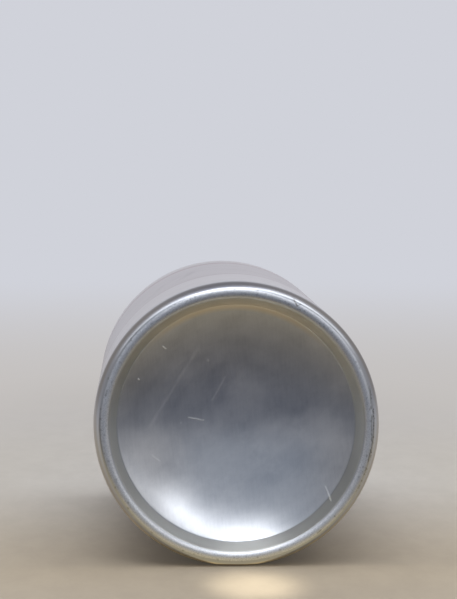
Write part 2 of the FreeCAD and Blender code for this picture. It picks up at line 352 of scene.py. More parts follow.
class Graph:
    """A node tree that is filled one node at a time."""

    def __init__(self, tree: bpy.types.NodeTree) -> None:
        """Takes the tree to fill."""
        self.tree = tree

    def add(self, kind: str, **inputs: object) -> bpy.types.Node:
        """Adds a node and sets or links its inputs.

        Args:
            kind: The node's type, without the words Shader and Node in front.
            inputs: A value or a socket for each input, with underscores for the spaces in its name.

        Returns:
            The new node.
        """
        node = self.tree.nodes.new("ShaderNode" + kind)
        for name, value in inputs.items():
            self.feed(node.inputs[name.replace("_", " ")], value)
        return node

    def feed(self, socket: Socket, value: object) -> None:
        """Links a socket, or sets the value, on an input.

        Args:
            socket: The input.
            value: The socket to link to it, or the value to set.
        """
        if isinstance(value, Socket):
            self.tree.links.new(value, socket)
        else:
            socket.default_value = value

    def math(self, operation: str, *values: object, clamp: bool = False) -> Socket:
        """Works out one number from up to three.

        Args:
            operation: What to work out, by Blender's own name.
            values: The numbers, or sockets that give them.
            clamp: Whether the result is kept from 0 to 1.

        Returns:
            The result.
        """
        node = self.tree.nodes.new("ShaderNodeMath")
        node.operation = operation
        node.use_clamp = clamp
        for socket, value in zip(node.inputs, values):
            self.feed(socket, value)
        return node.outputs[0]

    def plus(self, first: object, second: object, clamp: bool = False) -> Socket:
        """Adds two numbers."""
        return self.math("ADD", first, second, clamp=clamp)

    def less(self, first: object, second: object, clamp: bool = False) -> Socket:
        """Takes the second number from the first."""
        return self.math("SUBTRACT", first, second, clamp=clamp)

    def times(self, first: object, second: object, clamp: bool = False) -> Socket:
        """Multiplies two numbers."""
        return self.math("MULTIPLY", first, second, clamp=clamp)

    def most(self, numbers: list[Socket]) -> Socket:
        """The greatest of some numbers.

        Args:
            numbers: The numbers to choose from.

        Returns:
            The greatest one at each place.
        """
        greatest = numbers[0]
        for number in numbers[1:]:
            greatest = self.math("MAXIMUM", greatest, number)
        return greatest

    def vector(self, operation: str, *values: object) -> bpy.types.Node:
        """Works on vectors: the node's outputs are Vector and Value.

        Args:
            operation: What to work out, by Blender's own name.
            values: The vectors, or sockets that give them.

        Returns:
            The new node.
        """
        node = self.tree.nodes.new("ShaderNodeVectorMath")
        node.operation = operation
        for socket, value in zip(node.inputs, values):
            self.feed(socket, value)
        return node

    def ramp(self, value: object, low: float, high: float, start: object = 0.0, end: object = 1.0) -> Socket:
        """Eases from start to end as a value goes from low to high.

        Args:
            value: The value that changes.
            low: The value where the change starts.
            high: The value where the change ends.
            start: What comes out before it.
            end: What comes out after it.

        Returns:
            The eased number.
        """
        node = self.add("MapRange", Value=value)
        node.interpolation_type = "SMOOTHSTEP"
        for name, number in (("From Min", low), ("From Max", high), ("To Min", start), ("To Max", end)):
            self.feed(node.inputs[name], number)
        return node.outputs["Result"]

    def mix(self, factor: object, first: object, second: object, blend: str = "MIX") -> Socket:
        """Mixes two colours by a factor.

        Args:
            factor: How much of the second colour there is.
            first: The colour underneath.
            second: The colour on top.
            blend: How the two are mixed, by Blender's own name.

        Returns:
            The mixed colour.
        """
        node = self.tree.nodes.new("ShaderNodeMix")
        node.data_type = "RGBA"
        node.blend_type = blend
        self.feed(node.inputs[0], factor)
        self.feed(node.inputs[6], first)
        self.feed(node.inputs[7], second)
        return node.outputs[2]

    def noise(self, vector: Socket, scale: float, detail: float = 3.0, rough: float = 0.5) -> Socket:
        """A cloudy number from 0 to 1 at each place."""
        node = self.add("TexNoise", Vector=vector, Scale=scale, Detail=detail, Roughness=rough)
        return node.outputs["Fac"]

    def scaled(self, vector: Socket, scale: Triple) -> Socket:
        """A place scaled along each axis."""
        return self.vector("MULTIPLY", vector, scale).outputs["Vector"]

    def stretched(self, vector: Socket, scale: Triple, tilt: float) -> Socket:
        """A place turned about the can's axis and then scaled along each axis."""
        turned = self.add("Mapping", Vector=vector, Rotation=(0.0, tilt, 0.0)).outputs[0]
        return self.scaled(turned, scale)


class Group:
    """A shader node group with named inputs and outputs, built once."""

    def __init__(self, name: str, inputs: dict[str, object], outputs: list[str]) -> None:
        """Makes the group's sockets.

        Args:
            name: The group's name.
            inputs: A starting value for each input: a number, or a tuple for a vector.
            outputs: The names of the numbers that it puts out.
        """
        self.tree = bpy.data.node_groups.new(name, "ShaderNodeTree")
        for label, value in inputs.items():
            kind = "NodeSocketVector" if isinstance(value, tuple) else "NodeSocketFloat"
            socket = self.tree.interface.new_socket(label, in_out="INPUT", socket_type=kind)
            socket.default_value = value
        for label in outputs:
            self.tree.interface.new_socket(label, in_out="OUTPUT", socket_type="NodeSocketFloat")
        self.graph = Graph(self.tree)
        self.inner = self.tree.nodes.new("NodeGroupInput").outputs
        self.exit = self.tree.nodes.new("NodeGroupOutput")

    def send(self, label: str, value: Socket) -> None:
        """Sends a number out of the group."""
        self.graph.feed(self.exit.inputs[label], value)

    def use(self, graph: Graph, **inputs: object) -> dict[str, Socket]:
        """Places the group in a material's graph and returns its outputs by name.

        Args:
            graph: The graph of the material or of another group.
            inputs: A value or a socket for each input that doesn't keep its own.

        Returns:
            The outputs, by name.
        """
        node = graph.tree.nodes.new("ShaderNodeGroup")
        node.node_tree = self.tree
        for name, value in inputs.items():
            graph.feed(node.inputs[name.replace("_", " ")], value)
        return {socket.name: socket for socket in node.outputs}

    def mask(self, graph: Graph, **inputs: object) -> Socket:
        """Places the group in a material's graph and returns its mask."""
        return self.use(graph, **inputs)["Mask"]


@dataclass(frozen=True)
class Effects:
    """The node groups that the finishes share. Places are in millimetres from the axis's foot."""

    around: Group
    grain: Group
    haze: Group
    mark: Group
    patch: Group
    arcs: Group
    specks: Group
    band: Group
    bars: Group

    @classmethod
    def make(cls) -> "Effects":
        """Builds every group once.

        Returns:
            The finished groups.
        """
        return cls(
            around=cls.make_around(), grain=cls.make_grain(), haze=cls.make_haze(), mark=cls.make_mark(),
            patch=cls.make_patch(), arcs=cls.make_arcs(), specks=cls.make_specks(), band=cls.make_band(),
            bars=cls.make_bars(),
        )

    @staticmethod
    def make_around() -> Group:
        """Distance from the can's axis, and the turn from straight up, in whole turns.

        Returns:
            The finished group.
        """
        group = Group("around_the_axis", {"Place": (0.0, 0.0, 0.0)}, ["Radius", "Turn"])
        graph = group.graph
        parts = graph.add("SeparateXYZ", Vector=group.inner["Place"]).outputs
        flat = graph.scaled(group.inner["Place"], (1.0, 0.0, 1.0))
        group.send("Radius", graph.vector("LENGTH", flat).outputs["Value"])
        angle = graph.math("ARCTAN2", parts["X"], parts["Z"])
        group.send("Turn", graph.math("DIVIDE", angle, math.tau))
        return group

    @staticmethod
    def make_grain() -> Group:
        """Fine lines that rolling leaves in sheet metal, upright apart from a small tilt.

        Returns:
            The finished group.
        """
        group = Group("rolling_grain", {"Place": (0.0, 0.0, 0.0)}, ["Height", "Streak"])
        graph = group.graph
        place = group.inner["Place"]
        fine = graph.noise(graph.stretched(place, (9.0, 1.0, 2.0), math.radians(4)), 1.0, 2.0)
        wide = graph.noise(graph.stretched(place, (2.2, 0.4, 0.2), math.radians(5)), 1.0, 3.0)
        group.send("Height", graph.plus(graph.times(fine, 0.6), graph.times(wide, 0.4)))
        group.send("Streak", graph.times(graph.less(wide, 0.25), 2.0))
        return group

    @staticmethod
    def make_haze() -> Group:
        """Soft uneven patches, as handling and the overvarnish leave.

        Returns:
            The finished group.
        """
        group = Group("haze", {"Place": (0.0, 0.0, 0.0), "Size": 10.0}, ["Mask"])
        graph = group.graph
        scale = graph.math("DIVIDE", 1.0, group.inner["Size"])
        broad = graph.noise(group.inner["Place"], scale, 4.0, 0.55)
        group.send("Mask", graph.times(graph.less(broad, 0.25), 2.0))
        return group

    @staticmethod
    def make_mark() -> Group:
        """A straight scratch with faded ends.

        Returns:
            The finished group.
        """
        inputs = {"Place": (0.0, 0.0, 0.0), "Start": (0.0, 0.0, 0.0), "End": (1.0, 0.0, 0.0), "Width": 0.2}
        group = Group("scratch", inputs, ["Mask"])
        graph = group.graph
        inner = group.inner
        away = graph.vector("SUBTRACT", inner["Place"], inner["Start"]).outputs["Vector"]
        line = graph.vector("SUBTRACT", inner["End"], inner["Start"]).outputs["Vector"]
        dot = graph.vector("DOT_PRODUCT", away, line).outputs["Value"]
        square = graph.vector("DOT_PRODUCT", line, line).outputs["Value"]
        share = graph.math("DIVIDE", dot, square, clamp=True)
        foot = graph.vector("SCALE", line)
        graph.feed(foot.inputs["Scale"], share)
        gap = graph.vector("DISTANCE", away, foot.outputs["Vector"]).outputs["Value"]
        near = graph.less(1.0, graph.math("DIVIDE", gap, inner["Width"], clamp=True))
        broken = graph.ramp(graph.noise(inner["Place"], 1.6, 2.0), 0.3, 0.5, 0.35, 1.0)
        group.send("Mask", graph.times(near, broken))
        return group

    @staticmethod
    def make_arcs() -> Group:
        """Faint arcs round the axis, as the drawing tool leaves.

        Returns:
            The finished group.
        """
        group = Group("drawing_arcs", {"Place": (0.0, 0.0, 0.0), "Radius": 1.0}, ["Mask"])
        graph = group.graph
        flat = graph.scaled(group.inner["Place"], (1.0, 0.0, 1.0))
        heading = graph.vector("NORMALIZE", flat).outputs["Vector"]
        level = graph.add("CombineXYZ", Y=graph.times(group.inner["Radius"], 0.55)).outputs["Vector"]
        group.send("Mask", graph.noise(graph.vector("ADD", heading, level).outputs["Vector"], 1.0, 3.0))
        return group

    @staticmethod
    def make_patch() -> Group:
        """A soft round patch with an uneven edge.

        Returns:
            The finished group.
        """
        inputs = {"Place": (0.0, 0.0, 0.0), "Middle": (0.0, 0.0, 0.0), "Size": 8.0}
        group = Group("cloudy_patch", inputs, ["Mask"])
        graph = group.graph
        flat = graph.scaled(group.inner["Place"], (1.0, 0.0, 1.0))
        gap = graph.vector("DISTANCE", flat, group.inner["Middle"]).outputs["Value"]
        uneven = graph.times(graph.noise(flat, 0.22, 4.0, 0.6), 0.9)
        share = graph.plus(graph.math("DIVIDE", gap, group.inner["Size"]), graph.less(uneven, 0.45))
        group.send("Mask", graph.ramp(share, 1.0, 0.25))
        return group

    @staticmethod
    def make_specks() -> Group:
        """Small round specks scattered at random.

        Returns:
            The finished group.
        """
        inputs = {"Place": (0.0, 0.0, 0.0), "Spacing": 2.0, "Size": 0.2, "Share": 0.3}
        group = Group("specks", inputs, ["Mask"])
        graph = group.graph
        scale = graph.math("DIVIDE", 1.0, group.inner["Spacing"])
        cells = graph.add("TexVoronoi", Vector=group.inner["Place"], Scale=scale, Randomness=1.0)
        size = graph.times(group.inner["Size"], scale)
        near = graph.less(1.0, graph.math("DIVIDE", cells.outputs["Distance"], size, clamp=True))
        luck = graph.add("SeparateColor", Color=cells.outputs["Color"]).outputs["Red"]
        kept = graph.math("LESS_THAN", luck, group.inner["Share"])
        group.send("Mask", graph.times(near, kept))
        return group

    @staticmethod
    def make_band() -> Group:
        """One where a value is within a width of a middle, easing to nothing over a soft edge.

        Returns:
            The finished group.
        """
        group = Group("band", {"Value": 0.0, "Middle": 0.0, "Width": 1.0, "Soft": 0.1}, ["Mask"])
        graph = group.graph
        gap = graph.math("ABSOLUTE", graph.less(group.inner["Value"], group.inner["Middle"]))
        over = graph.less(gap, graph.times(group.inner["Width"], 0.5))
        group.send("Mask", graph.less(1.0, graph.math("DIVIDE", over, group.inner["Soft"], clamp=True)))
        return group

    @staticmethod
    def make_bars() -> Group:
        """A row of small plain bars all round the can, in runs with gaps between them.

        Returns:
            The finished group.
        """
        inputs = {"Turn": 0.0, "Height": 0.0, "Middle": 0.0, "Tall": 1.5, "Count": 60.0, "Runs": 10.0}
        group = Group("row_of_bars", inputs, ["Mask"])
        graph = group.graph
        inner = group.inner
        beat = graph.math("FRACT", graph.times(inner["Turn"], inner["Count"]))
        bar = graph.math("LESS_THAN", graph.math("ABSOLUTE", graph.less(beat, 0.5)), 0.3)
        long_beat = graph.math("FRACT", graph.times(inner["Turn"], inner["Runs"]))
        run = graph.math("LESS_THAN", graph.math("ABSOLUTE", graph.less(long_beat, 0.5)), 0.36)
        gap = graph.math("ABSOLUTE", graph.less(inner["Height"], inner["Middle"]))
        level = graph.math("LESS_THAN", gap, graph.times(inner["Tall"], 0.5))
        group.send("Mask", graph.times(graph.times(bar, run), level))
        return group


@dataclass(frozen=True)
class Band:
    """Where a value counts: the band's middle, its width and how softly each edge eases off."""

    middle: float
    width: float
    soft: float


@dataclass(frozen=True)
class Specks:
    """Scattered specks: how far apart and how big, in millimetres, and the share of them that shows."""

    spacing: float
    size: float
    share: float


class Finish:
    """A material in the making: its graph, its shader, its colour so far and the place in millimetres."""

    def __init__(self, name: str, can: CanFrame, effects: Effects, colour: Colour) -> None:
        """Starts a material.

        Args:
            name: The material's name.
            can: Where the can lies.
            effects: The shared node groups.
            colour: The colour that the rest is painted on.
        """
        self.material = bpy.data.materials.new(name)
        self.material.use_nodes = True
        self.graph = Graph(self.material.node_tree)
        self.shader = self.material.node_tree.nodes["Principled BSDF"]
        self.effects = effects
        self.colour: Socket | Colour = colour
        coords = self.graph.add("TexCoord").outputs["Object"]
        moved = self.graph.vector("SUBTRACT", coords, (0.0, can.base, can.axis_height)).outputs["Vector"]
        self.place = self.graph.scaled(moved, (1 / MM, 1 / MM, 1 / MM))

    def paint(self, mask: Socket, colour: Socket | Colour) -> None:
        """Lays a colour over the colour so far, as far as a mask says."""
        self.colour = self.graph.mix(mask, self.colour, colour)

    def band(self, value: Socket, band: Band) -> Socket:
        """One where a value is in a band, and nothing outside its soft edges."""
        group = self.effects.band
        return group.mask(self.graph, Value=value, Middle=band.middle, Width=band.width, Soft=band.soft)

    def haze(self, size: float) -> Socket:
        """Soft uneven patches of a size in millimetres, all over the piece."""
        return self.effects.haze.mask(self.graph, Place=self.place, Size=size)

    def specks(self, specks: Specks) -> Socket:
        """Specks scattered all over the piece."""
        return self.effects.specks.mask(
            self.graph, Place=self.place, Spacing=specks.spacing, Size=specks.size, Share=specks.share,
        )

    def bump(self, height: Socket, distance: float, under: Socket | None = None) -> Socket:
        """Turns a height into a normal.

        Args:
            height: The relief, from 0 to 1.
            distance: What a height of 1 stands for, in metres.
            under: A normal that this one lies on.

        Returns:
            The bent normal.
        """
        node = self.graph.add("Bump", Height=height, Distance=distance, Strength=1.0)
        if under is not None:
            self.graph.feed(node.inputs["Normal"], under)
        return node.outputs["Normal"]

    def done(self, **inputs: object) -> bpy.types.Material:
        """Sets or links the shader's colour and other inputs.

        Args:
            inputs: A value or a socket for each input, with underscores for the spaces in its name.

        Returns:
            The finished material.
        """
        for name, value in {"Base_Color": self.colour, **inputs}.items():
            self.graph.feed(self.shader.inputs[name.replace("_", " ")], value)
        return self.material


@dataclass(frozen=True)
class Mark:
    """A scratch, nick or dot on the base, in millimetres across and above the axis."""

    start: Pair
    end: Pair
    width: float
    bright: float


@dataclass(frozen=True)
class Patch:
    """A cloudy place on the dome: its middle across and above the axis, its size and how pale it is."""

    middle: Pair
    size: float
    pale: float


@dataclass(frozen=True)
class Scuff:
    """One dark rub on the wall: degrees from the top and height of its two ends, in millimetres."""

    start: Pair
    end: Pair
    width: float
    strength: float

    def ends(self, radius: float) -> list[Triple]:
        """The places of the two ends on a wall of a radius, in millimetres."""
        corners = [(math.radians(turn), height) for turn, height in (self.start, self.end)]
        return [(radius * math.sin(angle), height, radius * math.cos(angle)) for angle, height in corners]


WALL_SCUFFS = (
    Scuff((-19.0, 62.0), (-15.5, 74.0), 2.2, 0.50),
    Scuff((-21.5, 58.0), (-18.0, 63.5), 1.8, 0.45),
    Scuff((-32.5, 61.0), (-29.4, 68.0), 2.0, 0.45),
    Scuff((-38.0, 52.0), (-22.0, 72.0), 3.0, 0.22),
    Scuff((-14.0, 80.0), (6.0, 84.0), 3.0, 0.20),
    Scuff((15.0, 62.0), (28.0, 57.0), 2.5, 0.25),
)

BASE_PATCHES = (
    Patch((-3.0, -9.0), 13.0, 0.10),
    Patch((9.0, -4.0), 9.0, 0.08),
    Patch((20.0, -2.0), 9.0, 0.09),
    Patch((4.0, 6.0), 8.0, 0.05),
    Patch((-20.0, -4.0), 8.0, 0.05),
    Patch((14.0, -17.0), 9.0, 0.07),
)

BASE_MARKS = (
    Mark((-10.9, 0.7), (-7.4, 0.0), 0.22, 0.62),
    Mark((-2.4, 10.2), (-5.3, 4.8), 0.30, 0.19),
    Mark((-8.4, 17.7), (-20.0, -1.3), 0.55, 0.11),
    Mark((-19.5, -7.8), (-17.7, -9.2), 0.30, 0.40),
    Mark((20.9, -15.0), (21.9, -17.8), 0.24, 0.85),
    Mark((-16.9, 17.9), (-16.3, 17.3), 0.28, 0.80),
    Mark((-22.6, 10.3), (-22.5, 10.2), 0.30, 0.80),
    Mark((-6.4, 14.3), (-6.3, 14.2), 0.25, 0.56),
    Mark((-12.8, -0.6), (-12.7, -0.5), 0.25, 0.48),
    Mark((1.8, -5.2), (1.9, -5.3), 0.25, 0.48),
    Mark((-13.1, -4.2), (-12.5, -7.6), 0.95, 0.16),
    Mark((-13.6, -9.6), (-13.0, -10.6), 0.80, 0.19),
)

RING_NICKS = (
    Mark((13.0, 29.0), (13.8, 27.6), 0.30, 0.9),
    Mark((13.8, 27.6), (14.6, 27.9), 0.22, 0.6),
    Mark((30.6, 8.4), (30.9, 3.8), 0.17, 0.65),
    Mark((31.0, 2.4), (31.0, -3.6), 0.18, 0.70),
    Mark((30.8, -5.6), (30.2, -8.4), 0.17, 0.65),
    Mark((-29.8, 8.2), (-30.1, 7.0), 0.25, 0.5),
    Mark((18.6, -24.9), (19.4, -24.2), 0.25, 0.5),
)


class BaseFinish(Finish):
    """The base's material in the making, with the measures that its layers share."""

    def __init__(self, can: CanFrame, effects: Effects, metal: Colour, dome_fade: Pair) -> None:
        """Starts the material.

        Args:
            can: Where the can lies.
            effects: The shared node groups.
            metal: The colour of the plain metal.
            dome_fade: The radii where the dome starts and is full, in millimetres.
        """
        super().__init__("bare_metal", can, effects, metal)
        graph = self.graph
        around = effects.around.use(graph, Place=self.place)
        self.radius = around["Radius"]
        self.turn = around["Turn"]
        self.level = graph.scaled(self.place, (1.0, 0.0, 1.0))
        above = graph.add("SeparateXYZ", Vector=self.place).outputs["Z"]
        self.upward = graph.math("DIVIDE", above, self.radius)
        self.on_dome = graph.ramp(self.radius, *dome_fade)

    def ring(self, band: Band) -> Socket:
        """One on a ring about the axis."""
        return self.band(self.radius, band)

    def marks(self, marks: tuple[Mark, ...]) -> Socket:
        """How strong a set of marks is at a place.

        Args:
            marks: The marks.

        Returns:
            Their strength, from 0 to 1.
        """
        graph, group = self.graph, self.effects.mark
        drawn = []
        for mark in marks:
            start, end = (mark.start[0], 0.0, mark.start[1]), (mark.end[0], 0.0, mark.end[1])
            line = group.mask(graph, Place=self.level, Start=start, End=end, Width=mark.width)
            drawn.append(graph.times(line, mark.bright))
        return graph.most(drawn)


@dataclass(frozen=True)
class BareMetal:
    """Dull drawn aluminium of the base: rolling grain, haze, scratches and a rubbed standing ring, with
    painted reflections on the cone, the dome's rim, the nose and the heel.

    Bands, fades over the radius and sizes are in millimetres. A rise is a pair of shares of the way up,
    from -1 straight below the axis to 1 straight above it, between which a colour comes in.
    """

    metal: Colour = (0.545, 0.57, 0.62, 1.0)
    rubbed: Colour = (0.87, 0.89, 0.93, 1.0)
    soiled: Colour = (0.10, 0.095, 0.09, 1.0)
    # Painted reflections on the recess cone: the next colour is light and warm on its lower side, the one
    # after it olive on its upper side, where the floor is mirrored.
    cone_metal_and_reflection: Colour = (0.79, 0.775, 0.71, 1.0)
    painted_cone_reflection: Colour = (0.66, 0.585, 0.44, 1.0)
    # Painted reflection: a warm band at the top of the dome's rim, where the floor is mirrored.
    rim: Colour = (0.84, 0.73, 0.56, 1.0)
    # Painted reflection: a darker grey line along the top of the nose, where the metal mirrors something
    # dark.
    nose: Colour = (0.56, 0.56, 0.57, 1.0)
    # Painted reflections on the heel: the next colour is golden underneath, where the lit floor is mirrored,
    # the one after it dimmer grey on the sides and top.
    heel: Colour = (0.92, 0.80, 0.55, 1.0)
    heel_side: Colour = (0.45, 0.435, 0.42, 1.0)
    dome_fade: Pair = (DOME_RADIUS + 0.2, DOME_RADIUS - 0.4)
    ring_fade: Pair = (DOME_RADIUS, DOME_RADIUS + 1.2)
    heel_fade: Pair = (STAND_RADIUS + 1.3, STAND_RADIUS + 2.0)
    streak_shade: float = 0.11
    grain_shade: float = 0.35
    arc_shade: float = 0.34
    haze_shade: float = 0.10
    least_shade: float = 0.19
    haze_size: float = 11.0
    grain_depth: float = 0.0035 * MM
    scratch_depth: float = 0.03 * MM
    scratch_matt: float = 0.85
    wisp_scale: Triple = (0.13, 0.1, 0.22)
    wisp_tilt: float = math.radians(35)
    least_wisp: float = 0.33
    veil: float = 0.26
    most_veil: float = 0.2
    veil_paint: float = 4.0
    cone_band: Band = Band(DOME_RADIUS + 0.9, 1.4, 0.3)
    cone_rise: Pair = (0.0, 0.85)
    chalk: float = 0.05
    chalk_rise: Pair = (0.6, 0.0)
    rim_band: Band = Band(DOME_RADIUS - 0.3, 0.6, 1.0)
    rim_rise: Pair = (0.6, 0.97)
    rim_paint: float = 0.7
    nose_band: Band = Band(STAND_RADIUS - 0.95, 0.5, 0.25)
    nose_rise: Pair = (-0.3, 0.3)
    dirt_band: Band = Band(STAND_RADIUS + 1.0, 0.25, 0.25)
    dirt_turn: Band = Band(0.267, 0.09, 0.03)
    dirt_specks: Specks = Specks(0.55, 0.34, 0.55)
    pit_band: Band = Band(STAND_RADIUS + 0.3, 1.2, 0.3)
    pit_specks: Specks = Specks(0.9, 0.42, 0.35)
    pit_paint: float = 0.45
    heel_rise: Pair = (-0.95, -0.45)
    worn_band: Band = Band(STAND_RADIUS - 0.15, 1.4, 0.3)
    worn_scale: float = 3.5
    worn_fade: Pair = (0.35, 0.6)
    least_worn: float = 0.45
    dome_roughness: float = 0.278
    ring_roughness: float = 0.31
    worn_roughness: float = 0.26
    haze_roughness: float = 0.02

    def paint_dome(self, base: BaseFinish, grain: dict[str, Socket], haze: Socket) -> None:
        """Paints the dome's uneven tone.

        Args:
            base: The material in the making.
            grain: The rolling grain's height and streaks.
            haze: The soft uneven patches.
        """
        graph = base.graph
        arcs = base.effects.arcs.mask(graph, Place=base.place, Radius=base.radius)
        shade = graph.times(grain["Streak"], self.streak_shade)
        shade = graph.plus(shade, graph.times(grain["Height"], self.grain_shade))
        shade = graph.plus(shade, graph.times(arcs, self.arc_shade))
        shade = graph.plus(shade, graph.times(haze, self.haze_shade))
        base.paint(graph.times(graph.less(shade, self.least_shade), base.on_dome, clamp=True), self.rubbed)

    def paint_veil(self, base: BaseFinish) -> Socket:
        """Paints the pale veil of wisps and cloudy places on the dome.

        Args:
            base: The material in the making.

        Returns:
            How thick the veil is.
        """
        graph = base.graph
        wisps = graph.noise(graph.stretched(base.place, self.wisp_scale, self.wisp_tilt), 1.0, 7.0, 0.66)
        veil = graph.times(graph.less(wisps, self.least_wisp), self.veil)
        for patch in BASE_PATCHES:
            middle = (patch.middle[0], 0.0, patch.middle[1])
            cloud = base.effects.patch.mask(graph, Place=base.place, Middle=middle, Size=patch.size)
            veil = graph.plus(veil, graph.times(cloud, patch.pale))
        veil = graph.times(graph.math("MINIMUM", veil, self.most_veil), base.on_dome)
        base.paint(graph.times(veil, self.veil_paint), self.rubbed)
        return veil

    def paint_cone(self, base: BaseFinish) -> Socket:
        """Paints the cone from the dome's rim to the ring's nose, with painted reflections: a light warm tone
        low on the cone, olive at its top, a warm band at the top of the dome's rim and a darker line at the
        top of the nose.

        Args:
            base: The material in the making.

        Returns:
            How chalky the cone is.
        """
        graph = base.graph
        cone = base.ring(self.cone_band)
        # Painted reflection: the cone's colour turns from light and warm below to olive at its top.
        base.paint(cone, graph.mix(graph.ramp(base.upward, *self.cone_rise), self.cone_metal_and_reflection, self.painted_cone_reflection))
        # Painted reflection: the warm band at the top of the dome's rim.
        rim = graph.times(base.ring(self.rim_band), graph.ramp(base.upward, *self.rim_rise))
        base.paint(graph.times(rim, self.rim_paint), self.rim)
        # Painted reflection: the darker line along the top of the nose.
        nose = graph.times(base.ring(self.nose_band), graph.ramp(base.upward, *self.nose_rise))
        base.paint(nose, self.nose)
        return graph.times(cone, graph.ramp(base.upward, *self.chalk_rise, 0.0, self.chalk))

    def paint_dirt(self, base: BaseFinish) -> Socket:
        """Paints the dirt at the right of the standing ring, and its pits.

        Args:
            base: The material in the making.

        Returns:
            How much dirt there is.
        """
        graph = base.graph
        right = graph.times(base.ring(self.dirt_band), base.band(base.turn, self.dirt_turn))
        dirt = graph.times(right, base.specks(self.dirt_specks))
        pits = graph.times(base.ring(self.pit_band), base.specks(self.pit_specks))
        dirt = graph.math("MAXIMUM", dirt, graph.times(pits, self.pit_paint))
        base.paint(dirt, self.soiled)
        return dirt

    def paint_edge(self, base: BaseFinish, dirt: Socket) -> Socket:
        """Paints the heel with painted reflections, golden underneath where the lit floor is mirrored and
        dimmer on its sides and top, and then the worn standing ring where it is clean.

        Args:
            base: The material in the making.
            dirt: How much dirt there is.

        Returns:
            How worn the ring is.
        """
        graph = base.graph
        outside = graph.ramp(base.radius, *self.heel_fade)
        # Painted reflection: the heel is golden underneath and dimmer grey on its sides and top.
        base.paint(outside, graph.mix(graph.ramp(base.upward, *self.heel_rise), self.heel, self.heel_side))
        flecks = graph.noise(base.place, self.worn_scale, 3.0, 0.6)
        flecks = graph.ramp(flecks, *self.worn_fade, self.least_worn)
        worn = graph.times(base.ring(self.worn_band), flecks)
        base.paint(graph.less(worn, dirt, clamp=True), self.rubbed)
        return worn

    def build(self, can: CanFrame, effects: Effects) -> bpy.types.Material:
        """Makes the material.

        Args:
            can: Where the can lies.
            effects: The shared node groups.

        Returns:
            The finished material.
        """
        base = BaseFinish(can, effects, self.metal, self.dome_fade)
        graph = base.graph
        grain = effects.grain.use(graph, Place=base.place)
        haze = base.haze(self.haze_size)
        scratches = base.marks(BASE_MARKS)
        self.paint_dome(base, grain, haze)
        base.paint(scratches, self.rubbed)
        matt = graph.plus(self.paint_veil(base), graph.times(scratches, self.scratch_matt), clamp=True)
        metallic = graph.less(graph.less(1.0, matt), self.paint_cone(base))
        worn = self.paint_edge(base, self.paint_dirt(base))
        base.paint(base.marks(RING_NICKS), self.soiled)
        rolled = base.bump(graph.times(grain["Height"], base.on_dome), self.grain_depth)
        rough = graph.ramp(base.radius, *self.ring_fade, self.dome_roughness, self.ring_roughness)
        rough = graph.plus(rough, graph.times(worn, self.worn_roughness))
        rough = graph.plus(rough, graph.times(graph.times(haze, base.on_dome), self.haze_roughness))
        normal = base.bump(scratches, self.scratch_depth, under=rolled)
        return base.done(Metallic=metallic, Roughness=rough, Normal=normal)


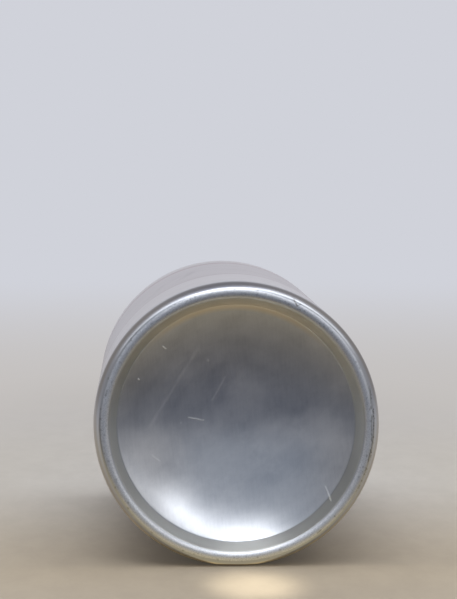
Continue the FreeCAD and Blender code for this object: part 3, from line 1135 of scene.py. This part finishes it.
@dataclass(frozen=True)
class PrintedWall:
    """Satin base coat on the wall, with a darker field, thin lines and rows of small plain bars.

    Heights from the standing plane and sizes are in millimetres.
    """

    coat: Colour = (0.485, 0.46, 0.475, 1.0)
    field_tint: Colour = (0.36, 0.32, 0.34, 1.0)
    plum: Colour = (0.17, 0.045, 0.075, 1.0)
    worn: Colour = (0.22, 0.19, 0.21, 1.0)
    bare: Colour = (0.62, 0.63, 0.65, 1.0)
    bare_end: float = 7.0
    field: Band = Band(68.5, 55.0, 0.15)
    field_paint: float = 0.6
    lines: tuple[Band, ...] = (Band(41.0, 0.9, 0.08), Band(99.5, 3.0, 0.08), Band(103.6, 0.8, 0.08))
    bar_rows: tuple[float, ...] = (88.0, 94.0)
    bar_tall: float = 2.2
    bar_turn: float = 0.2
    ink_paint: float = 0.9
    rub_scale: Triple = (0.05, 0.5, 0.05)
    rub_fade: Pair = (0.45, 0.75)
    rub_paint: float = 0.22
    specks: Specks = Specks(7.0, 0.9, 0.3)
    speck_paint: float = 0.5
    haze_size: float = 14.0
    roughness: float = 0.31
    haze_roughness: float = 0.04
    relief_scale: Triple = (1.0, 0.3, 1.0)
    relief_size: float = 0.35
    relief_depth: float = 0.0015 * MM
    metallic: float = 0.45
    varnish: float = 0.3
    varnish_roughness: float = 0.12

    def paint_print(self, wall: Finish, height: Socket) -> None:
        """Paints the field, the lines and the rows of bars.

        Args:
            wall: The material in the making.
            height: The height from the standing plane.
        """
        graph = wall.graph
        wall.paint(graph.times(wall.band(height, self.field), self.field_paint), self.field_tint)
        turn = wall.effects.around.use(graph, Place=wall.place)["Turn"]
        beside = graph.math("GREATER_THAN", graph.math("ABSOLUTE", turn), self.bar_turn)
        ink = [wall.band(height, line) for line in self.lines]
        for row in self.bar_rows:
            bars = wall.effects.bars.mask(graph, Turn=turn, Height=height, Middle=row, Tall=self.bar_tall)
            ink.append(graph.times(bars, beside))
        wall.paint(graph.times(graph.most(ink), self.ink_paint), self.plum)

    def paint_wear(self, wall: Finish, radius: float) -> None:
        """Paints the broad rubs, the specks and the scuffs.

        Args:
            wall: The material in the making.
            radius: The wall's radius, in millimetres.
        """
        graph = wall.graph
        rubs = graph.noise(graph.scaled(wall.place, self.rub_scale), 1.0, 4.0, 0.6)
        wear = [graph.ramp(rubs, *self.rub_fade, 0.0, self.rub_paint)]
        wear.append(graph.times(wall.specks(self.specks), self.speck_paint))
        for scuff in WALL_SCUFFS:
            start, end = scuff.ends(radius)
            rub = wall.effects.mark.mask(graph, Place=wall.place, Start=start, End=end, Width=scuff.width)
            wear.append(graph.times(rub, scuff.strength))
        wall.paint(graph.most(wear), self.worn)

    def build(self, can: CanFrame, effects: Effects) -> bpy.types.Material:
        """Makes the material.

        Args:
            can: Where the can lies.
            effects: The shared node groups.

        Returns:
            The finished material.
        """
        wall = Finish("printed_wall", can, effects, self.coat)
        graph = wall.graph
        height = graph.add("SeparateXYZ", Vector=wall.place).outputs["Y"]
        self.paint_print(wall, height)
        self.paint_wear(wall, can.radius / MM)
        coated = graph.ramp(height, self.bare_end - 0.1, self.bare_end + 0.1)
        wall.colour = graph.mix(coated, self.bare, wall.colour)
        relief = graph.noise(graph.scaled(wall.place, self.relief_scale), self.relief_size, 2.0)
        rough = graph.plus(graph.times(wall.haze(self.haze_size), self.haze_roughness), self.roughness)
        return wall.done(
            Metallic=graph.ramp(coated, 0.0, 1.0, 1.0, self.metallic), Roughness=rough,
            Normal=wall.bump(relief, self.relief_depth),
            Coat_Weight=self.varnish, Coat_Roughness=self.varnish_roughness,
        )


@dataclass(frozen=True)
class SheetMetal:
    """Bright lacquered sheet of the end and the tab, with rolling grain and light handling marks."""

    name: str
    metal: Colour = (0.66, 0.67, 0.69, 1.0)
    bright: Colour = (0.8, 0.81, 0.83, 1.0)
    soiled: Colour = (0.3, 0.29, 0.28, 1.0)
    streak_paint: float = 0.45
    specks: Specks = Specks(3.0, 0.16, 0.4)
    speck_paint: float = 0.5
    grain_depth: float = 0.006 * MM
    haze_size: float = 9.0
    roughness: float = 0.30
    haze_roughness: float = 0.07

    def build(self, can: CanFrame, effects: Effects) -> bpy.types.Material:
        """Makes the material.

        Args:
            can: Where the can lies.
            effects: The shared node groups.

        Returns:
            The finished material.
        """
        sheet = Finish(self.name, can, effects, self.metal)
        graph = sheet.graph
        grain = effects.grain.use(graph, Place=sheet.place)
        sheet.paint(graph.times(grain["Streak"], self.streak_paint), self.bright)
        sheet.paint(graph.times(sheet.specks(self.specks), self.speck_paint), self.soiled)
        rough = graph.plus(graph.times(sheet.haze(self.haze_size), self.haze_roughness), self.roughness)
        return sheet.done(Metallic=1.0, Roughness=rough, Normal=sheet.bump(grain["Height"], self.grain_depth))


# --------------------------------------------------------------------------------------------------
# Studio
# --------------------------------------------------------------------------------------------------


@dataclass(frozen=True)
class Lamp:
    """A rectangular soft light that looks at the can."""

    name: str
    place: Triple
    aim: Triple
    size: Pair
    radiance: float
    roll: float = 0.0
    mirrored: bool = True

    def build(self) -> None:
        """Makes the light, as bright as its radiance and size ask for."""
        data = bpy.data.lights.new(self.name, "AREA")
        data.shape = "RECTANGLE"
        data.size, data.size_y = self.size
        data.energy = self.radiance * math.pi * self.size[0] * self.size[1]
        lamp = bpy.data.objects.new(self.name, data)
        lamp.location = self.place
        towards = Vector(self.aim) - Vector(self.place)
        turned = towards.to_track_quat("-Z", "Y") @ Quaternion((0, 0, 1), self.roll)
        lamp.rotation_euler = turned.to_euler()
        lamp.visible_camera = False
        lamp.visible_glossy = self.mirrored
        bpy.context.scene.collection.objects.link(lamp)


LAMP_AIM = (0.0, -0.06, 0.03)

LAMPS = (
    Lamp("overhead", (-0.07, -0.375, 0.75), (-0.07, -0.375, 0.0), (0.40, 0.81), 2.9),
    Lamp("overhead_corner", (0.18, -0.69, 0.75), (0.18, -0.69, 0.0), (0.10, 0.18), 2.9),
    Lamp("overhead_left", (-0.41, -0.06, 0.75), (-0.41, -0.06, 0.0), (0.28, 0.46), 1.6),
    Lamp("overhead_right", (0.34, 0.0, 0.75), (0.34, 0.0, 0.0), (0.42, 0.40), 2.2),
    Lamp("strip_high", (0.325, -0.585, 0.495), LAMP_AIM, (0.03, 0.33), 11.5, roll=math.radians(36)),
    Lamp("strip_low", (0.587, -0.500, 0.30), LAMP_AIM, (0.03, 0.32), 2.3, roll=math.radians(35)),
    Lamp("wing_left", (-0.66, -0.02, 0.62), LAMP_AIM, (0.40, 0.40), 0.75),
    Lamp("wing_right", (0.68, -0.02, 0.62), LAMP_AIM, (0.40, 0.40), 1.15),
    Lamp("fill", (0.0, 0.1, 0.9), (0.0, 0.0, 0.0), (1.2, 1.2), 0.8, mirrored=False),
)


@dataclass(frozen=True)
class Studio:
    """A plain pale floor that fades into a plain pale surround, soft lights and the camera.

    A fade is a pair: where one colour starts to turn into the next, and where it has done so. Fades of the
    floor, the glow and the board are in metres, and those of the room are parts of a direction of length one.
    """

    can: CanFrame
    surround: Colour = srgb(208, 210, 218)
    front_low: Colour = (0.16, 0.165, 0.18, 1.0)
    front_high: Colour = (0.225, 0.253, 0.301, 1.0)
    back_low: Colour = (0.62, 0.63, 0.68, 1.0)
    back_high: Colour = (0.22, 0.22, 0.27, 1.0)
    side_left: Colour = (0.28, 0.275, 0.28, 1.0)
    side_right: Colour = (0.36, 0.355, 0.36, 1.0)
    side_back: Colour = (0.33, 0.315, 0.32, 1.0)
    floor_near: Colour = (0.36, 0.305, 0.235, 1.0)
    floor_far: Colour = (0.46, 0.445, 0.425, 1.0)
    # The floor's glow, painted light: these colours glow near the can and in the middle distance.
    glow_near: Colour = srgb(197, 188, 172)
    glow_middle: Colour = srgb(195, 191, 188)
    # The board's glow: a painted reflection of lit floor just at the base, then painted shade further out.
    board_near: Colour = (0.50, 0.42, 0.27, 1.0)
    board_middle: Colour = (0.130, 0.120, 0.113, 1.0)
    board_far: Colour = (0.096, 0.105, 0.132, 1.0)
    floor_radius: float = 5.0
    floor_fade: Pair = (-0.065, 0.10)
    floor_roughness: float = 0.9
    floor_specular: float = 0.2
    mottle_stretch: Triple = (1.0, 0.4, 1.0)
    mottle_scale: float = 120.0
    mottle: Pair = (0.94, 1.05)
    glow_fade: Pair = (0.05, 0.28)
    glow_far_fade: Pair = (0.20, 1.3)
    # Where the lit floor gives way to its glow, and the faint glow, painted light, that stays near the can.
    paper_stretch: Triple = (2.0, 0.7, 1.0)
    paper_fade: Pair = (0.04, 0.34)
    least_glow: float = 0.08
    board_size: Pair = (3.0, 1.6)
    board_overlap: float = 0.002
    board_lift: float = 0.0005
    board_fade: Pair = (0.010, 0.038)
    board_far_fade: Pair = (0.035, 0.085)
    front_fade: Pair = (-0.08, 0.12)
    back_fade: Pair = (0.08, 0.75)
    back_side_fade: Pair = (0.25, 0.55)
    left_fade: Pair = (-0.45, -0.8)
    right_fade: Pair = (0.3, 0.65)
    room_fade: Pair = (-0.3, 0.3)
    patch_energy: float = 22.0
    patch_angle: float = math.radians(3.3)
    patch_tint: Triple = (1.0, 0.95, 0.80)
    patch_right: float = 3.0 * MM
    patch_ahead: float = 25.0 * MM
    patch_from: Triple = (0.0, -0.38, 0.24)
    patch_softness: float = 4.0 * MM
    camera_back: float = 567.1 * MM
    camera_left: float = 21.4 * MM
    camera_rise: float = 62.4 * MM
    camera_dip: float = math.radians(3.364)
    camera_pan: float = math.radians(1.964)
    lens: float = 149.3

    def floor_material(self) -> bpy.types.Material:
        """Beige matt floor near the can, which fades into the surround's own colour far away, and which
        glows: faint painted light near the can that lifts its shadows, and the surround's glow far away.

        Returns:
            The floor's material.
        """
        material = bpy.data.materials.new("floor_paper")
        material.use_nodes = True
        graph = Graph(material.node_tree)
        nodes = material.node_tree.nodes
        coords = graph.add("TexCoord").outputs["Object"]
        depth = graph.add("SeparateXYZ", Vector=coords).outputs["Y"]
        away = graph.vector("LENGTH", coords).outputs["Value"]
        colour = graph.mix(graph.ramp(depth, *self.floor_fade), self.floor_near, self.floor_far)
        mottle = graph.noise(graph.scaled(coords, self.mottle_stretch), self.mottle_scale, 6.0, 0.7)
        mottle = graph.ramp(mottle, 0.25, 0.75, *self.mottle)
        tone = graph.add("CombineColor", Red=mottle, Green=mottle, Blue=mottle).outputs[0]
        colour = graph.mix(1.0, colour, tone, "MULTIPLY")
        shader = nodes["Principled BSDF"]
        graph.feed(shader.inputs["Base Color"], colour)
        shader.inputs["Roughness"].default_value = self.floor_roughness
        shader.inputs["Specular IOR Level"].default_value = self.floor_specular
        # Painted light: the floor glows in these colours, faintly near the can, where it lifts the shadows,
        # and fully far away, where it becomes the surround.
        haze = graph.mix(graph.ramp(away, *self.glow_fade), self.glow_near, self.glow_middle)
        haze = graph.mix(graph.ramp(away, *self.glow_far_fade), haze, self.surround)
        glow = graph.add("Emission", Color=haze, Strength=1.0)
        beside = graph.vector("LENGTH", graph.scaled(coords, self.paper_stretch)).outputs["Value"]
        blend = graph.add("MixShader", Fac=graph.ramp(beside, *self.paper_fade, self.least_glow))
        graph.feed(blend.inputs[1], shader.outputs[0])
        graph.feed(blend.inputs[2], glow.outputs[0])
        graph.feed(nodes["Material Output"].inputs["Surface"], blend.outputs[0])
        return material

    def floor(self) -> None:
        """Makes the floor."""
        mesh = bmesh.new()
        bmesh.ops.create_circle(mesh, cap_ends=True, segments=96, radius=self.floor_radius)
        floor = put_out(mesh, "floor", [self.floor_material()])

    def dim_board(self) -> None:
        """Makes the dim board in front of the base, which only reflections see: it glows with painted
        reflections, a warm lit strip at the base for the heel to mirror and painted shade further out.
        """
        wide, deep = self.board_size
        edge = self.can.base + self.board_overlap
        mesh = bmesh.new()
        bmesh.ops.create_grid(mesh, x_segments=1, y_segments=1, size=0.5)
        for vert in mesh.verts:
            vert.co = Vector((vert.co.x * wide, edge - (0.5 - vert.co.y) * deep, self.board_lift))
        material = bpy.data.materials.new("dim_board")
        material.use_nodes = True
        graph = Graph(material.node_tree)
        depth = graph.add("SeparateXYZ", Vector=graph.add("TexCoord").outputs["Object"]).outputs["Y"]
        ahead = graph.less(self.can.base, depth)
        light = graph.mix(graph.ramp(ahead, *self.board_fade), self.board_near, self.board_middle)
        light = graph.mix(graph.ramp(ahead, *self.board_far_fade), light, self.board_far)
        glow = graph.add("Emission", Color=light, Strength=1.0)
        graph.feed(material.node_tree.nodes["Material Output"].inputs["Surface"], glow.outputs[0])
        board = put_out(mesh, "dim_board", [material])
        board.visible_camera = False
        board.visible_diffuse = False
        board.visible_shadow = False
        board.visible_transmission = False

    def room(self) -> None:
        """Makes the room: pale where it is looked at, dimmer where the can's front mirrors it."""
        world = bpy.data.worlds.new("surround")
        world.use_nodes = True
        graph = Graph(world.node_tree)
        direction = graph.add("TexCoord").outputs["Generated"]
        parts = graph.add("SeparateXYZ", Vector=direction).outputs
        front = graph.mix(graph.ramp(parts["Z"], *self.front_fade), self.front_low, self.front_high)
        back = graph.mix(graph.ramp(parts["Z"], *self.back_fade), self.back_low, self.back_high)
        wide = graph.math("ABSOLUTE", parts["X"])
        back = graph.mix(graph.ramp(wide, *self.back_side_fade), back, self.side_back)
        front = graph.mix(graph.ramp(parts["X"], *self.left_fade), front, self.side_left)
        front = graph.mix(graph.ramp(parts["X"], *self.right_fade), front, self.side_right)
        room = graph.mix(graph.ramp(parts["Y"], *self.room_fade), front, back)
        seen = graph.add("LightPath").outputs["Is Camera Ray"]
        shade = graph.mix(seen, room, self.surround)
        background = world.node_tree.nodes["Background"]
        graph.feed(background.inputs["Color"], shade)
        bpy.context.scene.world = world

    def floor_patch(self) -> None:
        """Makes the narrow light that brightens the floor just in front of the base."""
        data = bpy.data.lights.new("floor_patch", "SPOT")
        data.energy = self.patch_energy
        data.spot_size = self.patch_angle
        data.spot_blend = 1.0
        data.shadow_soft_size = self.patch_softness
        data.color = self.patch_tint
        patch = bpy.data.objects.new("floor_patch", data)
        middle = Vector((self.patch_right, self.can.base - self.patch_ahead, 0.0))
        patch.location = middle + Vector(self.patch_from)
        patch.rotation_euler = (middle - patch.location).to_track_quat("-Z", "Y").to_euler()
        patch.visible_glossy = False
        patch.visible_camera = False
        bpy.context.scene.collection.objects.link(patch)

    def camera(self) -> None:
        """Makes the camera, low in front of the base and looking slightly down."""
        data = bpy.data.cameras.new("camera")
        data.lens = self.lens
        data.sensor_width = 36.0
        data.clip_start = 0.01
        data.clip_end = 50.0
        camera = bpy.data.objects.new("camera", data)
        back, height = self.can.base - self.camera_back, self.can.axis_height + self.camera_rise
        camera.location = (-self.camera_left, back, height)
        camera.rotation_euler = (math.pi / 2 - self.camera_dip, 0.0, -self.camera_pan)
        bpy.context.scene.collection.objects.link(camera)
        bpy.context.scene.camera = camera

    def build(self) -> None:
        """Makes the whole studio."""
        self.floor()
        self.dim_board()
        self.room()
        for lamp in LAMPS:
            lamp.build()
        self.floor_patch()
        self.camera()
        bpy.context.scene.view_settings.view_transform = "Standard"


def dress(node: str, material: bpy.types.Material) -> None:
    """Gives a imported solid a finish.

    Args:
        node: The solid's name.
        material: Its finish.
    """
    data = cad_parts[node].data
    data.materials.clear()
    data.materials.append(material)


def main() -> None:
    """Builds the can and its studio."""
    logging.basicConfig(level=logging.INFO, format="%(message)s")
    can = CanFrame.read()
    effects = Effects.make()
    LOG.info("can: base %.4f, top %.4f, axis at %.5f, radius %.5f", *astuple(can))

    shell = DrawnBody(can).build(BareMetal().build(can, effects), PrintedWall().build(can, effects))
    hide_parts("can_body")
    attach(shell, "root")
    LOG.info("%s: %d faces", shell.name, len(shell.data.polygons))

    tab_sheet = SheetMetal("tab_sheet", metal=(0.74, 0.75, 0.77, 1.0), roughness=0.285)
    dress("can_end", SheetMetal("end_sheet").build(can, effects))
    dress("pull_tab", tab_sheet.build(can, effects))

    Studio(can).build()


if __name__ == "__main__":
    main()
